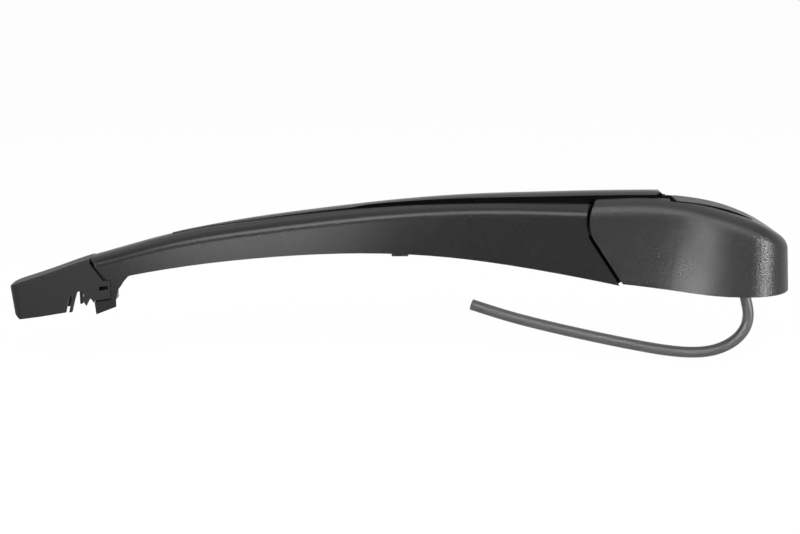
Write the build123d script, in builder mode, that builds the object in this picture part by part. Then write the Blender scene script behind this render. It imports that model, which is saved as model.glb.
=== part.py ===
from build123d import *
import os
from math import cos, radians, sin, sqrt, tan

os.makedirs("parts", exist_ok=True)

# Frame: the drive spindle's axis is Z, the arm reaches along -X towards its blade.
# Z = 0 is the middle of the plain land in the spindle bush. Lengths are in millimetres.

# Plan of the moulded body: station along X, half-width at the rim level and at the crown level
rim_level = -12.0
crown_level = 28.0
half_widths = [
    (-276.0, 7.5, 6.9),
    (-226.0, 9.3, 8.0),
    (-182.0, 9.9, 8.8),
    (-143.0, 9.4, 9.4),
    (-94.0, 8.2, 10.5),
    (-56.0, 8.9, 11.5),
    (-30.0, 11.3, 12.0),
    (-20.0, 13.5, 12.7),
    (-10.0, 17.3, 14.2),
    (0.0, 20.0, 16.7),
]
rim_round = 21.0
rim_round_x = 11.5
crown_round = 17.9
crown_round_x = 11.8
form_low = -30.0
form_high = 34.0
form_span = 40.0
arm_back_radius = 13.0
arm_shoulder = 5.0
head_shoulder = 7.5
back_lead = 24.0
arm_form_right = -34.0

# Side view of the arm and of the head: top and lower lines
arm_top = [
    (-276.0, 1.3),
    (-262.6, 5.0),
    (-252.0, 8.0),
    (-237.0, 11.85),
    (-195.0, 19.2),
    (-149.0, 24.6),
    (-107.0, 27.35),
    (-81.0, 27.8),
    (-57.0, 27.7),
    (-20.0, 27.4),
]
arm_low = [
    (-36.0, -10.9),
    (-51.0, -7.9),
    (-86.0, -1.4),
    (-121.0, 3.3),
    (-155.5, 4.8),
    (-199.0, 2.7),
    (-225.0, -0.2),
    (-255.5, -5.4),
]
head_top = [
    (-62.0, 28.3),
    (-43.0, 28.8),
    (-29.5, 28.8),
    (-22.0, 28.2),
    (-15.0, 27.2),
    (-9.0, 26.0),
    (-2.0, 24.3),
    (6.4, 21.9),
    (16.0, 18.3),
    (28.4, 10.9),
    (36.0, 6.0),
]
head_low = [(-60.0, -8.0), (-42.7, -8.7), (-25.7, -10.3), (-9.5, -11.5), (4.0, rim_level)]
arm_wall = 2.5
head_wall = 2.8
arm_inner_corner = 3.0
head_inner_corner = 5.0
fit_gap = 0.2

# Hinge of the arm: place, parting curve, lugs, stub pins and bushes
hinge_x = -41.5
hinge_z = 18.8
parting_radius = 16.0
parting_gap = 1.5
parting_start = 120.0
parting_tangent = 213.7
cheek_round = 3.0
lip_inner = 4.4
lip_gap = 1.4
lip_high = 11.4
lip_lead = 1.6
lip_reach = 3.4
lip_root = 5.0
lip_end = 19.0
lip_foot = 22.8
lip_toe = 1.0
slot_half = 5.9
slot_end_x = -20.4
lug_inner = 2.9
lug_outer = 5.6
lug_radius = 6.5
lug_root_x = -74.0
lug_root_low = 12.6
lug_root_high = 26.0
pivot_radius = 2.5
pivot_depth = 9.6
pivot_bush_wall = 1.1
running_gap = 0.05
seat_gap = 0.1

# Spring that pulls the arm to the glass
spring_z = 8.5
anchor_x = -125.0
spring_pin_radius = 2.0
spring_pin_depth = 9.0
anchor_boss_inner = 4.2
anchor_boss_half = 4.0
spring_radius = 4.5
spring_wire = 1.6
spring_turns = 20
coil_taper = 3.0
rod_radius = 0.75
rod_lead = 6.6
rod_reach = 24.0
hook_reach = 36.0
hook_thickness = 2.4
hook_eye = 4.2
hook_end = 2.8
hook_hole = 1.25

# Drive end: bush, boss, nut well and ribs
bush_radius = 7.0
bush_bore = 4.05
bush_mouth = 5.0
land_half = 4.0
taper_length = 6.0
boss_radius = 9.0
boss_length = 11.0
rib_start = -150.0
rib_sweep = 130.0
floor_thickness = 3.0
well_left = -13.2
well_right = 11.4
well_half = 7.0
well_corner = 6.0
well_wall = 2.2
rib_thickness = 2.0
rib_low = -9.0
rib_high = 8.0
hose_way_high = 9.0
hose_way_left = -25.0

# Nut cap and its hinge
cap_left = -18.9
cap_right = 13.6
cap_half = 8.0
cap_left_corner = 2.0
cap_right_corner = 7.0
cap_thickness = 1.9
cap_gap = 0.5
cap_edge = 0.8
cap_top = [(-24.0, 28.0), (-18.6, 27.5), (-6.3, 25.9), (6.8, 22.5), (16.0, 18.5), (20.0, 16.4)]
cap_axis_x = -17.4
cap_axis_z = 23.6
cap_pin_radius = 0.8
cap_barrel_radius = 2.1
cap_barrel_half = 4.6
cap_ear_radius = 1.6
cap_ear_inner = 5.0
cap_ear_outer = 7.3
cap_groove_left = -21.8
cap_groove_right = -15.2
cap_groove_half = 8.5
cap_groove_floor = 21.2
snap_inset = 0.8
snap_thickness = 1.3
snap_half = 3.0
snap_low = 14.4
snap_length = 5.6

# Cover strip on the arm's top
strip_half = [(-237.0, 0.7), (-203.0, 1.2), (-170.0, 2.2), (-140.0, 3.3), (-107.0, 4.9), (-57.0, 5.6), (-27.6, 5.7)]
strip_top = [
    (-246.0, 9.7),
    (-237.0, 12.3),
    (-226.0, 14.7),
    (-213.0, 17.1),
    (-200.0, 19.25),
    (-182.0, 21.75),
    (-169.0, 23.4),
    (-140.0, 26.7),
    (-107.0, 29.2),
    (-81.0, 30.05),
    (-57.0, 30.65),
    (-18.0, 30.95),
]
strip_back_radius = 15.0
strip_seat = 1.0
strip_gap = 0.3
strip_nose_x = -24.4
strip_nose_half = 2.6
strip_end_high = 30.8
strip_end_round = 2.0
peg_radius = 1.3
peg_length = 3.0
peg_stations = [(-150.0, 24.0), (-104.0, 27.0), (-68.0, 27.2)]

# Blade clip: hood at the arm's tip, with the claw for the blade's pin
clip_tip_x = -309.3
clip_tip_z = -11.5
clip_tilt = 6.4
clip_length = 56.0
clip_tip_half = 6.4
clip_root_half = 7.3
clip_tip_round = 4.2
clip_top = [
    (-313.0, -12.3),
    (-307.0, -9.9),
    (-297.9, -6.9),
    (-287.0, -3.1),
    (-278.0, 0.1),
    (-268.0, 3.1),
    (-258.0, 5.9),
]
clip_wall = 1.9
clip_roof = 2.0
clip_edge = 1.1
clip_inner_edge = 0.8
clip_gap = 0.35
clip_step_gap = 1.9
step_top = (-273.0, 1.4)
step_low = (-265.9, -7.6)
step_side_x = -264.3
foot_left_x = -271.7
foot_top_left = -17.4
foot_top_right = -16.3
foot_low_left = (-271.1, -22.9)
foot_low_right = (-262.2, -19.4)
gusset_line = [(-256.6, -5.9), (-258.4, -8.0), (-260.3, -10.8), (-260.9, -11.5), (-262.2, -16.2)]
gusset_rake = 12.0
channel_left_x = -263.4
tongue_roof_gap = 0.4
seat_x = -278.1
seat_z = -14.5
seat_radius = 1.7
claw_low = -27.0
near_slit = [(-282.8, -14.8), (-281.4, -14.5), (-283.1, -21.8), (-284.3, claw_low), (-285.9, claw_low)]
near_finger = [(-279.8, -14.5), (-280.5, -16.6), (-282.0, -22.3), (-282.9, claw_low)]
far_finger = [
    (-279.8, -14.5),
    (-279.6, -16.6),
    (-279.6, -21.4),
    (-280.8, -21.4),
    (-280.8, -14.2),
    (-284.2, -14.2),
    (-285.0, claw_low),
]
claw_tooth = [
    (-271.8, claw_low),
    (-271.8, -18.0),
    (-272.4, -17.5),
    (-273.1, -16.4),
    (-273.6, -16.1),
    (-274.0, -16.4),
    (-275.5, -19.3),
    (-276.6, -17.5),
    (-277.0, -15.8),
    (-276.4, -14.5),
]
clip_low_line = [
    (-272.05, -17.7),
    (-275.3, -19.5),
    (-282.0, -22.2),
    (-285.5, -22.5),
    (-296.6, -24.4),
    (-305.4, -25.6),
    (-310.0, -21.6),
]
window_centre = (-267.6, -11.25)
window_size = (4.0, 1.7)
window_tilt = 12.0
lug_rise = 0.9
pocket_depth = 3.4

# Washer jet in the channel and the hose
nozzle_x = -138.2
nozzle_half_length = 3.6
nozzle_low = 2.9
nozzle_high = 12.0
nozzle_post = 3.0
spigot_radius = 1.25
spigot_length = 8.0
jet_radius = 1.5
jet_recess = 2.5
jet_sunk = 0.4
jet_hole = 0.4
hose_radius = 2.5
hose_bore = 1.3
clip_stations = [-112.0, -84.0]
hose_clip_length = 6.0
hose_clip_wall = 1.3
hose_clip_mouth = 3.6
hose_bend_run = 10.0
hose_fall = 45.0
hose_y = 12.0
exit_x = 15.2
hose_inside = [
    (-27.5, 0.0, 4.8),
    (-20.0, 2.5, -2.0),
    (-11.0, 11.0, -3.2),
    (2.0, 13.6, -2.0),
]
hose_tail_line = [
    (19.5, -28.4),
    (18.4, -34.7),
    (14.2, -40.3),
    (6.8, -44.5),
    (-2.7, -46.2),
    (-16.3, -45.3),
    (-34.7, -41.9),
    (-56.6, -37.2),
    (-76.6, -32.4),
    (-92.1, -28.2),
    (-105.9, -23.5),
]
exit_lean = 16.0
exit_run = 9.0
tail_run = 9.8
guide_length = 4.0
guide_wall = 1.5


def plan_section(z, inset):
    """Plan outline of the moulded body at one level: two mirrored side curves and the round end."""
    share = (z - rim_level) / (crown_level - rim_level)
    side = [(x, low + (high - low) * share - inset) for x, low, high in half_widths]
    centre = rim_round_x + (crown_round_x - rim_round_x) * share
    radius = rim_round + (crown_round - rim_round) * share - inset
    side.append((centre, radius))
    with BuildSketch(Plane.XY.offset(z)) as section:
        with BuildLine():
            far_side = Spline(*side, tangents=[(1, 0.02), (1, 0)])
            ThreePointArc((centre, radius), (centre + radius, 0), (centre, -radius))
            near_side = Spline(*[(x, -y) for x, y in side], tangents=[(1, -0.02), (1, 0)])
            Line(far_side @ 0, near_side @ 0)
        make_face()
    return section.sketch


def under_line(line, drop):
    """Region of the side view below a smooth line lowered by drop."""
    lowered = [(x, z - drop) for x, z in line]
    with BuildSketch(Plane.XZ) as region:
        with BuildLine():
            crest = Spline(*lowered)
            Polyline(crest @ 1, (lowered[-1][0], form_low), (lowered[0][0], form_low), crest @ 0)
        make_face()
    return region.sketch


def above_line(line, drop):
    """Region of the side view above a smooth line lowered by drop."""
    lowered = [(x, z - drop) for x, z in line]
    with BuildSketch(Plane.XZ) as region:
        with BuildLine():
            base = Spline(*lowered)
            Polyline(base @ 1, (lowered[-1][0], form_span), (lowered[0][0], form_span), base @ 0)
        make_face()
    return region.sketch


def round_back(line, radius, inset):
    """Long body whose round back lies under a line of the side view, less an inset."""
    fall = (line[1][1] - line[0][1]) / (line[1][0] - line[0][0])
    points = [(line[0][0] - back_lead, line[0][1] - back_lead * fall)] + line
    centres = []
    for (x, z), before, after in zip(points, points[:1] + points, points[1:] + points[-1:]):
        run = after[0] - before[0]
        rise = after[1] - before[1]
        centres.append((x, z - radius * sqrt(run**2 + rise**2) / run))
    half = radius - inset
    with BuildPart() as body:
        with BuildLine(Plane.XZ) as path:
            Spline(*centres)
        with BuildSketch(Plane(origin=path.line @ 0, x_dir=(0, 1, 0), z_dir=path.line % 0)):
            with BuildLine():
                ThreePointArc((-half, 0), (0, half), (half, 0))
                Polyline((half, 0), (half, -form_span), (-half, -form_span), (-half, 0))
            make_face()
        sweep(path=path.line)
    return body.part


def arm_form(inset, edge_radius):
    """Body between the drafted side walls under the arm's round back, with round shoulders."""
    with BuildPart() as form:
        loft([plan_section(form_low, inset), plan_section(form_high, inset)], ruled=True)
        add(round_back(arm_top, arm_back_radius, inset), mode=Mode.INTERSECT)
        with Locations((arm_form_right, 0, 0)):
            Box(
                form_span * 8,
                form_span * 2,
                form_span * 4,
                align=(Align.MAX, Align.CENTER, Align.CENTER),
                mode=Mode.INTERSECT,
            )
        back = form.faces().sort_by(Axis.Z)[-1]
        fillet(back.edges().sort_by(SortBy.LENGTH)[-2:], edge_radius)
    return form.part


def head_form(inset, edge_radius):
    """Body between the drafted side walls and the head's top line, with round shoulders."""
    with BuildPart() as form:
        loft([plan_section(form_low, inset), plan_section(form_high, inset)], ruled=True)
        extrude(under_line(head_top, inset), amount=form_span, both=True, mode=Mode.INTERSECT)
        crown = form.faces().sort_by(Axis.Z)[-1]
        fillet(crown.edges().filter_by(Axis.Y, reverse=True), edge_radius)
    return form.part


def around_hinge(radius, angle):
    """Point of the side view at an angle about the arm's hinge."""
    return hinge_x + radius * cos(radians(angle)), hinge_z + radius * sin(radians(angle))


def parting_region(radius):
    """Head's side of the parting curve: an arc about the hinge, then its tangent down and back."""
    start = around_hinge(radius, parting_start)
    middle = around_hinge(radius, (parting_start + parting_tangent) / 2)
    end = around_hinge(radius, parting_tangent)
    run = (end[1] - form_low) / cos(radians(parting_tangent - 180))
    foot = (end[0] + run * sin(radians(parting_tangent - 180)), form_low)
    with BuildSketch(Plane.XZ) as region:
        with BuildLine():
            ThreePointArc(start, middle, end)
            Polyline(end, foot, (form_span, form_low), (form_span, form_span), (start[0], form_span), start)
        make_face()
    return region.sketch


def along_parting(run, side):
    """Point of the side view along the parting line: run past its arc, side towards the arm."""
    turn = radians(parting_tangent - 180)
    x, z = around_hinge(parting_radius, parting_tangent)
    return x + run * sin(turn) - side * cos(turn), z - run * cos(turn) - side * sin(turn)


def wall_blocks(corners, inner, skin):
    """Pair of blocks on the inner side walls, from inner out to the skin."""
    with BuildPart() as blocks:
        with BuildSketch(Plane.XZ.offset(inner)):
            with BuildLine():
                Polyline(*corners, close=True)
            make_face()
        extrude(amount=form_span)
        mirror(about=Plane.XZ)
        add(skin, mode=Mode.INTERSECT)
    return blocks.part


def cross_pin(x, z, radius, start, length):
    """Round pin along Y, from start towards +Y."""
    with BuildPart() as pin:
        with BuildSketch(Plane.XZ.offset(-start)):
            with Locations((x, z)):
                Circle(radius)
        extrude(amount=-length)
        chamfer(pin.edges().filter_by(GeomType.CIRCLE), radius * 0.15)
    return pin.part


def strip_plan(z, growth, length):
    """Tapering plan of the cover strip, grown sideways by growth, raised from z by length."""
    side = [(x, y + growth) for x, y in strip_half]
    with BuildPart() as blank:
        with BuildSketch(Plane.XY.offset(z)):
            with BuildLine():
                far_side = Spline(*side)
                near_side = Spline(*[(x, -y) for x, y in side])
                tip = (side[0][0] - side[0][1], 0)
                nose = strip_nose_half + growth
                ThreePointArc(far_side @ 0, tip, near_side @ 0)
                Polyline(far_side @ 1, (strip_nose_x, nose), (strip_nose_x, -nose), near_side @ 1)
            make_face()
        extrude(amount=length)
    return blank.part


def cap_plan(growth):
    """Plan of the nut cap: square hinge end, round free end."""
    with BuildPart() as blank:
        with BuildSketch(Plane.XY):
            with Locations(((cap_left + cap_right) / 2, 0)):
                outline = Rectangle(cap_right - cap_left + 2 * growth, 2 * (cap_half + growth))
            ends = outline.vertices().group_by(Axis.X)
            fillet(ends[0], cap_left_corner + growth)
            fillet(outline.vertices().group_by(Axis.X)[-1], cap_right_corner + growth)
        extrude(amount=form_span)
    return blank.part


def clip_form(inset, drop, edge_radius):
    """Hood over the arm's tip: tilted plan with a round end, under its roof line."""
    tilt = radians(clip_tilt)
    along = (cos(tilt), 0, sin(tilt))
    upright = (-sin(tilt), 0, cos(tilt))
    plan = Plane(origin=(clip_tip_x, 0, clip_tip_z), x_dir=along, z_dir=upright)
    with BuildPart() as form:
        with BuildSketch(plan):
            with BuildLine():
                Polyline(
                    (inset, clip_tip_half - inset),
                    (clip_length, clip_root_half - inset),
                    (clip_length, inset - clip_root_half),
                    (inset, inset - clip_tip_half),
                    close=True,
                )
            outline = make_face()
            fillet(outline.vertices().group_by(Axis.X)[0], clip_tip_round - inset / 2)
        extrude(amount=form_span, both=True)
        extrude(under_line(clip_top, drop), amount=form_span, both=True, mode=Mode.INTERSECT)
        crown = form.faces().sort_by(Axis.Z)[-1]
        fillet(crown.edges().sort_by(Axis.X)[:-1], edge_radius)
    return form.part


def hose_tube(route, outer, inner):
    """Hollow hose along straight runs joined by the largest tangent arcs; also returns its radii."""
    points = [Vector(*point) for point in route]
    radii = []
    for before, corner, after in zip(points, points[1:], points[2:]):
        turn = (corner - before).get_angle(after - corner)
        run = min((corner - before).length, (after - corner).length)
        radii.append(0.45 * run / tan(radians(turn) / 2))
    with BuildPart() as tube:
        with BuildLine() as path:
            FilletPolyline(*points, radius=radii)
        start = Plane(origin=path.line @ 0, z_dir=path.line % 0)
        with BuildSketch(start):
            Circle(outer)
        sweep(path=path.line)
        with BuildSketch(start):
            Circle(inner)
        sweep(path=path.line, mode=Mode.SUBTRACT)
    return tube.part, radii, sum(edge.length for edge in path.edges())


# Arm skin: outer form trimmed to its lower line, its tip and the parting curve
with BuildPart() as arm_skin:
    add(arm_form(0, arm_shoulder))
    with BuildSketch(Plane.XZ):
        with BuildLine():
            lower = Spline(*arm_low)
            Polyline(
                lower @ 1,
                *gusset_line,
                foot_low_right,
                foot_low_left,
                (foot_left_x, foot_top_left),
                (step_side_x, foot_top_right),
                (step_side_x, step_low[1]),
                step_low,
                step_top,
                (step_top[0], form_span),
                (arm_low[0][0], form_span),
                lower @ 0,
            )
        make_face()
    extrude(amount=form_span, both=True, mode=Mode.INTERSECT)
    head_side = parting_region(parting_radius + parting_gap / 2)
    extrude(head_side, amount=form_span, both=True, mode=Mode.SUBTRACT)
    with BuildSketch(Plane.XZ.offset(half_widths[0][1] + 1)) as raked:
        with BuildLine():
            Polyline(
                *[(x + fit_gap, z) for x, z in gusset_line],
                (gusset_line[-1][0] + fit_gap, form_low),
                (arm_low[-2][0], form_low),
                (arm_low[-2][0], gusset_line[0][1]),
                close=True,
            )
        make_face()
    rake = (-sin(radians(gusset_rake)), cos(radians(gusset_rake)), 0)
    extrude(raked.sketch, amount=form_span, dir=rake, mode=Mode.SUBTRACT)

# Head skin: outer form on the other side of the parting curve, open below its rim
with BuildPart() as head_skin:
    add(head_form(0, head_shoulder))
    with BuildSketch(Plane.XZ):
        with BuildLine():
            lower = Spline(*head_low)
            Polyline(
                lower @ 1,
                (form_span, rim_level),
                (form_span, form_span),
                (head_low[0][0], form_span),
                lower @ 0,
            )
        make_face()
    extrude(amount=form_span, both=True, mode=Mode.INTERSECT)
    head_radius = parting_radius - parting_gap / 2
    extrude(parting_region(head_radius), amount=form_span, both=True, mode=Mode.INTERSECT)
    round_z = head_top[0][1] - cheek_round
    round_x = hinge_x - sqrt((head_radius - cheek_round) ** 2 - (round_z - hinge_z) ** 2)
    with BuildSketch(Plane.XZ):
        with Locations((round_x, round_z)):
            Rectangle(2 * cheek_round, 2 * cheek_round, align=(Align.MAX, Align.MIN))
            Circle(cheek_round, mode=Mode.SUBTRACT)
    extrude(amount=form_span, both=True, mode=Mode.SUBTRACT)

# Channel inside the arm, and the same channel less a fit gap for what is pushed into it
with BuildPart() as arm_channel:
    add(arm_form(arm_wall, arm_inner_corner))
    with Locations(Location((channel_left_x, 0, 0), (0, 0, gusset_rake))):
        Box(
            form_span * 8,
            form_span * 4,
            form_span * 2,
            align=(Align.MIN, Align.CENTER, Align.CENTER),
            mode=Mode.INTERSECT,
        )
channel_liner = arm_form(arm_wall + fit_gap, arm_inner_corner)

# Seat of the cover strip in the arm's top
with BuildPart() as strip_groove:
    add(strip_plan(0, strip_gap, form_span))
    above_seat = above_line(arm_top, strip_seat + seat_gap)
    extrude(above_seat, amount=form_span, both=True, mode=Mode.INTERSECT)

hinge_root = wall_blocks(
    [
        (lug_root_x, lug_root_low),
        (hinge_x, lug_root_low),
        (hinge_x, lug_root_high),
        (lug_root_x, lug_root_high),
    ],
    lug_inner,
    arm_skin.part,
)
anchor_boss = wall_blocks(
    [
        (anchor_x - anchor_boss_half, spring_z - anchor_boss_half),
        (anchor_x + anchor_boss_half, spring_z - anchor_boss_half),
        (anchor_x + anchor_boss_half, spring_z + anchor_boss_half),
        (anchor_x - anchor_boss_half, spring_z + anchor_boss_half),
    ],
    anchor_boss_inner,
    arm_skin.part,
)
anchor_pin_half = 6.2

# Tongue at the arm's tip that fills the root of the blade clip
tongue_half = clip_root_half - clip_wall - fit_gap - 0.3
with BuildPart() as tongue:
    with BuildSketch(Plane.XZ):
        with Locations(((foot_left_x + channel_left_x) / 2, foot_top_left - 0.5)):
            Rectangle(channel_left_x - foot_left_x, form_span, align=(Align.CENTER, Align.MIN))
    extrude(amount=tongue_half, both=True)
    below_roof = under_line(arm_top, clip_roof + tongue_roof_gap)
    extrude(below_roof, amount=form_span, both=True, mode=Mode.INTERSECT)

# Lift arm: channel with hinge lugs, spring bosses and the clip's tongue
with BuildPart() as lift_arm:
    add(arm_skin.part)
    add(arm_channel.part, mode=Mode.SUBTRACT)
    add(hinge_root)
    add(anchor_boss)
    add(tongue.part)
    with BuildSketch(Plane.XZ.offset(lug_inner)):
        with Locations((hinge_x, hinge_z)):
            Circle(lug_radius)
        with BuildLine():
            Polyline(
                (hinge_x, hinge_z - lug_radius),
                (hinge_x, hinge_z + lug_radius),
                (lug_root_x, lug_root_high),
                (lug_root_x, lug_root_low),
                close=True,
            )
        make_face()
    lug = extrude(amount=lug_outer - lug_inner)
    mirror(lug, about=Plane.XZ)
    with BuildSketch(Plane.XZ):
        with Locations((hinge_x, hinge_z)):
            Circle(pivot_radius + pivot_bush_wall + 2 * running_gap)
    extrude(amount=lug_outer + 1, both=True, mode=Mode.SUBTRACT)
    with BuildSketch(Plane.XZ):
        with Locations((anchor_x, spring_z)):
            Circle(spring_pin_radius + running_gap)
    extrude(amount=anchor_pin_half + fit_gap, both=True, mode=Mode.SUBTRACT)
    add(strip_groove.part, mode=Mode.SUBTRACT)
    with Locations(*[(x, 0, z) for x, z in peg_stations]):
        Cylinder(peg_radius + seat_gap, 2 * peg_length + 2, mode=Mode.SUBTRACT)
    with BuildSketch(Plane.XZ.offset(tongue_half)):
        with Locations(Location((*window_centre, 0), (0, 0, window_tilt))):
            Rectangle(*window_size)
    extrude(amount=-pocket_depth, mode=Mode.SUBTRACT)
    with BuildSketch(Plane.XZ.offset(-tongue_half)):
        with Locations(Location((*window_centre, 0), (0, 0, window_tilt))):
            Rectangle(window_size[0] - 4 * fit_gap, window_size[1] - 4 * fit_gap)
    extrude(amount=-lug_rise)
lift_arm.part.label = "lift_arm"
export_step(lift_arm.part, "parts/lift_arm.step")

# Cover strip: tapering plan between its seat and its round back, pegs into the arm
with BuildPart() as cover_strip:
    add(strip_plan(0, 0, form_span))
    extrude(above_line(arm_top, strip_seat), amount=form_span, both=True, mode=Mode.INTERSECT)
    add(round_back(strip_top, strip_back_radius, 0), mode=Mode.INTERSECT)
    with BuildSketch(Plane.XZ):
        with BuildLine():
            outline = Polyline(
                (strip_nose_x - strip_end_round, strip_end_high),
                (strip_top[0][0], form_span),
                (strip_top[0][0], form_low),
                (strip_nose_x, form_low),
                (strip_nose_x, strip_end_high - strip_end_round),
            )
            TangentArc(outline @ 1, outline @ 0, tangent=(0, 1))
        make_face()
    extrude(amount=form_span, both=True, mode=Mode.INTERSECT)
    with Locations(*[(x, 0, z) for x, z in peg_stations]):
        Cylinder(peg_radius, peg_length, align=(Align.CENTER, Align.CENTER, Align.MAX))
cover_strip.part.label = "cover_strip"
export_step(cover_strip.part, "parts/cover_strip.step")

# Blade clip: hood with a claw cut through both side walls and a snap window
with BuildPart() as blade_clip:
    add(clip_form(0, 0, clip_edge))
    with BuildSketch(Plane.XZ):
        with BuildLine():
            Polyline(
                (step_top[0] - clip_gap, form_span),
                (step_top[0] - clip_gap, step_top[1] - clip_step_gap),
                (step_low[0] - clip_step_gap, step_low[1] - clip_gap),
                (step_side_x - clip_gap, step_low[1] - clip_gap),
                (step_side_x - clip_gap, foot_top_right + clip_gap),
                (clip_low_line[0][0], foot_top_left + clip_gap),
                *clip_low_line,
                (clip_low_line[-1][0], form_span),
                close=True,
            )
        make_face()
    extrude(amount=form_span, both=True, mode=Mode.INTERSECT)
    add(clip_form(clip_wall, clip_roof, clip_inner_edge), mode=Mode.SUBTRACT)
    with BuildSketch(Plane.XZ):
        with Locations((seat_x, seat_z)):
            Circle(seat_radius)
        with Locations(Location((window_centre[0], window_centre[1], 0), (0, 0, window_tilt))):
            Rectangle(window_size[0], window_size[1])
    extrude(amount=form_span, both=True, mode=Mode.SUBTRACT)
    with BuildSketch(Plane.XZ):
        with BuildLine():
            Polyline(*near_slit, close=True)
        make_face()
        with BuildLine():
            Polyline(*near_finger, *claw_tooth, close=True)
        make_face()
    extrude(amount=form_span, mode=Mode.SUBTRACT)
    with BuildSketch(Plane.XZ):
        with BuildLine():
            Polyline(*far_finger, *claw_tooth, close=True)
        make_face()
    extrude(amount=-form_span, mode=Mode.SUBTRACT)
blade_clip.part.label = "blade_clip"
export_step(blade_clip.part, "parts/blade_clip.step")

# Nut well, ribs and hose guide inside the head, cut to the head's skin
hose_exit = Location((exit_x, hose_y, rim_level), (0, -exit_lean, 0))
well_middle = (well_left + well_right) / 2
well_length = well_right - well_left
with BuildPart() as nut_well:
    with BuildSketch(Plane.XY.offset(land_half - floor_thickness)):
        with Locations((well_middle, 0)):
            RectangleRounded(well_length + 2 * well_wall, 2 * (well_half + well_wall), well_corner + well_wall)
    extrude(amount=form_span)
    with Locations((0, 0, land_half - floor_thickness)):
        Cylinder(boss_radius, boss_length, align=(Align.CENTER, Align.CENTER, Align.MAX))
    with PolarLocations(boss_radius, 3, start_angle=rib_start, angular_range=rib_sweep, endpoint=True):
        with Locations((0, 0, rib_low)):
            Box(form_span, rib_thickness, rib_high - rib_low, align=(Align.MIN, Align.CENTER, Align.MIN))
    with Locations(hose_exit):
        Cylinder(
            hose_radius + fit_gap + guide_wall,
            guide_length,
            align=(Align.CENTER, Align.CENTER, Align.MIN),
        )
        Box(rib_thickness, form_span, guide_length, align=(Align.CENTER, Align.MIN, Align.MIN))
    add(head_skin.part, mode=Mode.INTERSECT)

# Space for the nut cap in the head's top
with BuildPart() as cap_recess:
    add(cap_plan(cap_gap))
    above_seat = above_line(cap_top, cap_thickness + seat_gap)
    extrude(above_seat, amount=form_span, both=True, mode=Mode.INTERSECT)

# Arm head: hollow moulding with hinge cheeks, spindle boss, nut well and cap hinge
with BuildPart() as head_cavity:
    with BuildSketch(Plane.XZ):
        with BuildLine():
            Polyline(
                (hose_way_left, form_low),
                (hose_way_left, hose_way_high),
                (cap_groove_right, hose_way_high),
                (cap_groove_right, form_span),
                (form_span, form_span),
                (form_span, form_low),
                close=True,
            )
        make_face()
    extrude(amount=form_span, both=True)
    add(head_form(head_wall, head_inner_corner), mode=Mode.INTERSECT)

# Lips of the head that stand in the arm's channel behind the parting gap
parting_lip = wall_blocks(
    [
        (hinge_x - parting_radius - lip_lead, lip_high),
        along_parting(lip_end, lip_reach),
        along_parting(lip_foot, lip_toe),
        along_parting(lip_foot, -lip_toe),
        along_parting(lip_end, -lip_root),
        (along_parting(0, -lip_root)[0], lip_high),
    ],
    lip_inner,
    arm_form(arm_wall + lip_gap, arm_inner_corner),
)

with BuildPart() as arm_head:
    add(head_skin.part)
    add(head_cavity.part, mode=Mode.SUBTRACT)
    with Locations((slot_end_x, 0, 0)):
        Box(
            form_span * 2,
            2 * slot_half,
            form_span * 2,
            align=(Align.MAX, Align.CENTER, Align.CENTER),
            mode=Mode.SUBTRACT,
        )
    add(parting_lip)
    add(nut_well.part)
    add(cap_recess.part, mode=Mode.SUBTRACT)
    with BuildSketch(Plane.XY.offset(land_half)):
        with Locations((well_middle, 0)):
            RectangleRounded(well_length, 2 * well_half, well_corner)
    extrude(amount=form_span, mode=Mode.SUBTRACT)
    with Locations((cap_groove_left, 0, cap_groove_floor)):
        Box(
            cap_groove_right - cap_groove_left,
            2 * cap_groove_half,
            form_span,
            align=(Align.MIN, Align.CENTER, Align.MIN),
            mode=Mode.SUBTRACT,
        )
    with BuildSketch(Plane.XZ.offset(cap_ear_inner)):
        with Locations((cap_axis_x, cap_axis_z)):
            Circle(cap_ear_radius)
            Rectangle(2 * cap_ear_radius, 2 * cap_ear_radius, align=(Align.CENTER, Align.MAX))
    ear = extrude(amount=cap_ear_outer - cap_ear_inner)
    mirror(ear, about=Plane.XZ)
    Cylinder(bush_radius + running_gap, form_span, mode=Mode.SUBTRACT)
    with Locations(hose_exit):
        Cylinder(hose_radius + fit_gap, 2 * exit_run, mode=Mode.SUBTRACT)
    with BuildSketch(Plane.XZ):
        with Locations((hinge_x, hinge_z)):
            Circle(pivot_radius + running_gap)
    extrude(amount=pivot_depth + seat_gap, both=True, mode=Mode.SUBTRACT)
    with BuildSketch(Plane.XZ):
        with Locations((hinge_x, spring_z)):
            Circle(spring_pin_radius + running_gap)
    extrude(amount=spring_pin_depth + seat_gap, both=True, mode=Mode.SUBTRACT)
    with BuildSketch(Plane.XZ):
        with Locations((cap_axis_x, cap_axis_z)):
            Circle(cap_pin_radius + running_gap)
    extrude(amount=cap_ear_outer, both=True, mode=Mode.SUBTRACT)
arm_head.part.label = "arm_head"
export_step(arm_head.part, "parts/arm_head.step")

# Spindle bush: plain land on the spindle's end, opening to a taper below
with BuildPart() as spindle_bush:
    with BuildSketch(Plane.XZ):
        with BuildLine():
            Polyline(
                (bush_bore, land_half),
                (bush_radius, land_half),
                (bush_radius, -land_half - taper_length),
                (bush_mouth, -land_half - taper_length),
                (bush_bore, -land_half),
                close=True,
            )
        make_face()
    revolve(axis=Axis.Z)
spindle_bush.part.label = "spindle_bush"
export_step(spindle_bush.part, "parts/spindle_bush.step")

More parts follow.
